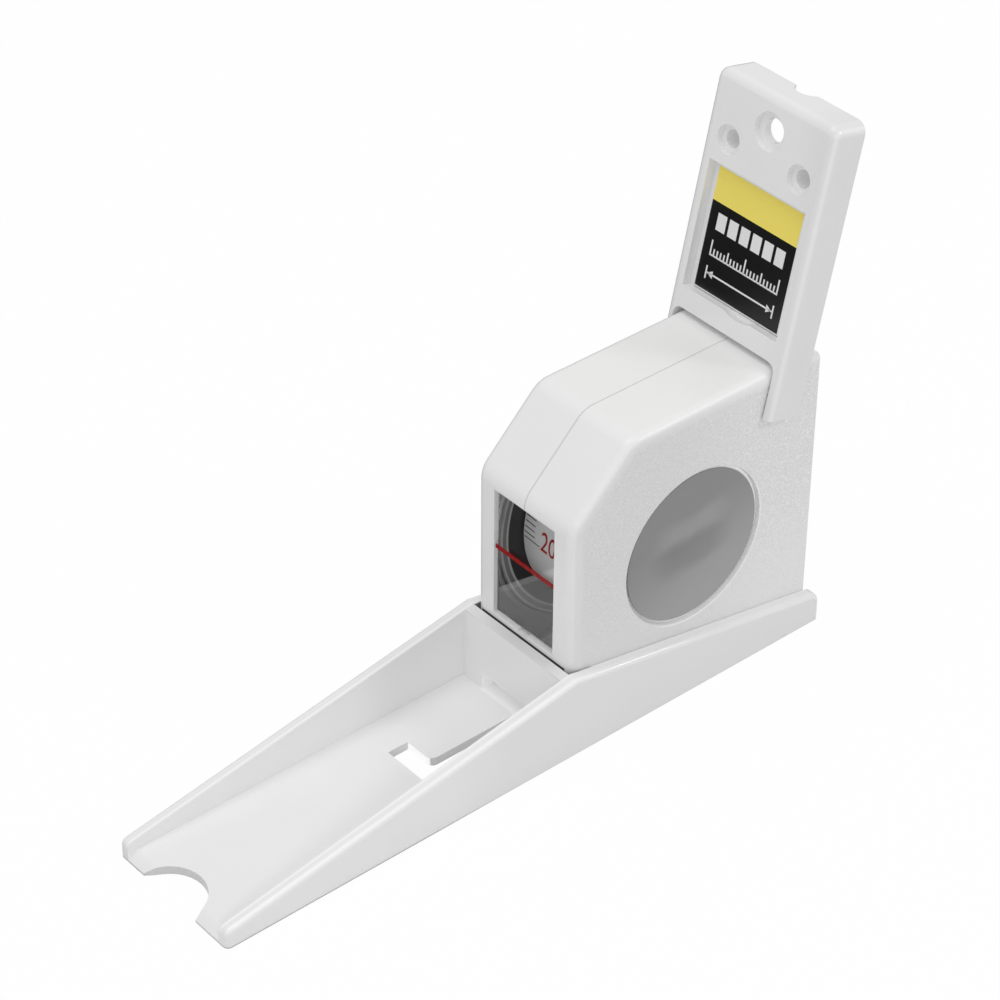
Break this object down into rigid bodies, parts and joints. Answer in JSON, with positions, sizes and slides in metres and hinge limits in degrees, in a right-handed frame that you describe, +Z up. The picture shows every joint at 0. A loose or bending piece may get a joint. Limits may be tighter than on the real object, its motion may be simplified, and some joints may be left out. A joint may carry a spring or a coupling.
{
  "type": "wall-mounted stadiometer",
  "caption": "Pull-down height-measuring tape in a white plastic case on a long wedge-shaped head plate, with a reading window and a tilting wall bracket at the tape's end.",
  "frame": {"origin": "on the head plate's flat underside, straight below the tape reel's axis, in the middle of its width", "axes": "+Z up, towards the case and bracket; -Y towards the head plate's tip and the reading window; +Y towards the wall; +X towards the side with the grey disc"},
  "size_m": [0.039, 0.1798, 0.1357],
  "materials": {
    "plate_white": "smooth semi-gloss white moulding",
    "case_white": "white moulding, smooth over the roof and front, grained on the sides",
    "bracket_white": "smooth semi-gloss white moulding",
    "clear_lens": "clear moulded window",
    "line_red": "red reading line",
    "disc_grey": "satin grey",
    "reel_black": "black moulding",
    "tape_white": "white tape with black graduations and red numerals",
    "spring_steel": "blued spring strip",
    "screw_steel": "plain steel",
    "label_ink": "printed label on a thin plate"
  },
  "bodies": {
    "case": {"head_plate": "plate_white", "case_shell_left": "case_white", "case_shell_right": "case_white", "window_lens": "clear_lens", "reading_line": "line_red", "side_disc": "disc_grey", "arbor": "screw_steel", "shell_screw_1": "screw_steel", "shell_screw_2": "screw_steel", "shell_screw_3": "screw_steel", "plate_screw_1": "screw_steel", "plate_screw_2": "screw_steel", "tape_run": "tape_white"},
    "reel": {"reel_spool": "reel_black", "reel_flange": "reel_black", "tape_coil": "tape_white", "mainspring": "spring_steel"},
    "tape_end": {"tape_end": "tape_white"},
    "bracket": {"wall_bracket": "bracket_white", "label_plate": "label_ink", "tilt_pin": "screw_steel"}
  },
  "joints": [
    {"name": "tape_pull", "type": "slide", "parent": "case", "child": "tape_end", "axis": [0, 0, 1], "range_m": [0, 2], "stiffness_N_per_m": 2, "springref_m": -1.5, "deforming": ["tape_run"]},
    {"name": "reel_spin", "type": "hinge", "parent": "case", "child": "reel", "pos_m": [0, 0, 0.0392], "axis": [1, 0, 0], "range_deg": [0, 4640]},
    {"name": "bracket_tilt", "type": "hinge", "parent": "tape_end", "child": "bracket", "pos_m": [0, 0.0282, 0.0808], "axis": [1, 0, 0], "range_deg": [0, 12.3]}
  ],
  "couplings": [
    {"joint": "reel_spin", "follows": "tape_pull", "rad_per_m": 40.3}
  ]
}
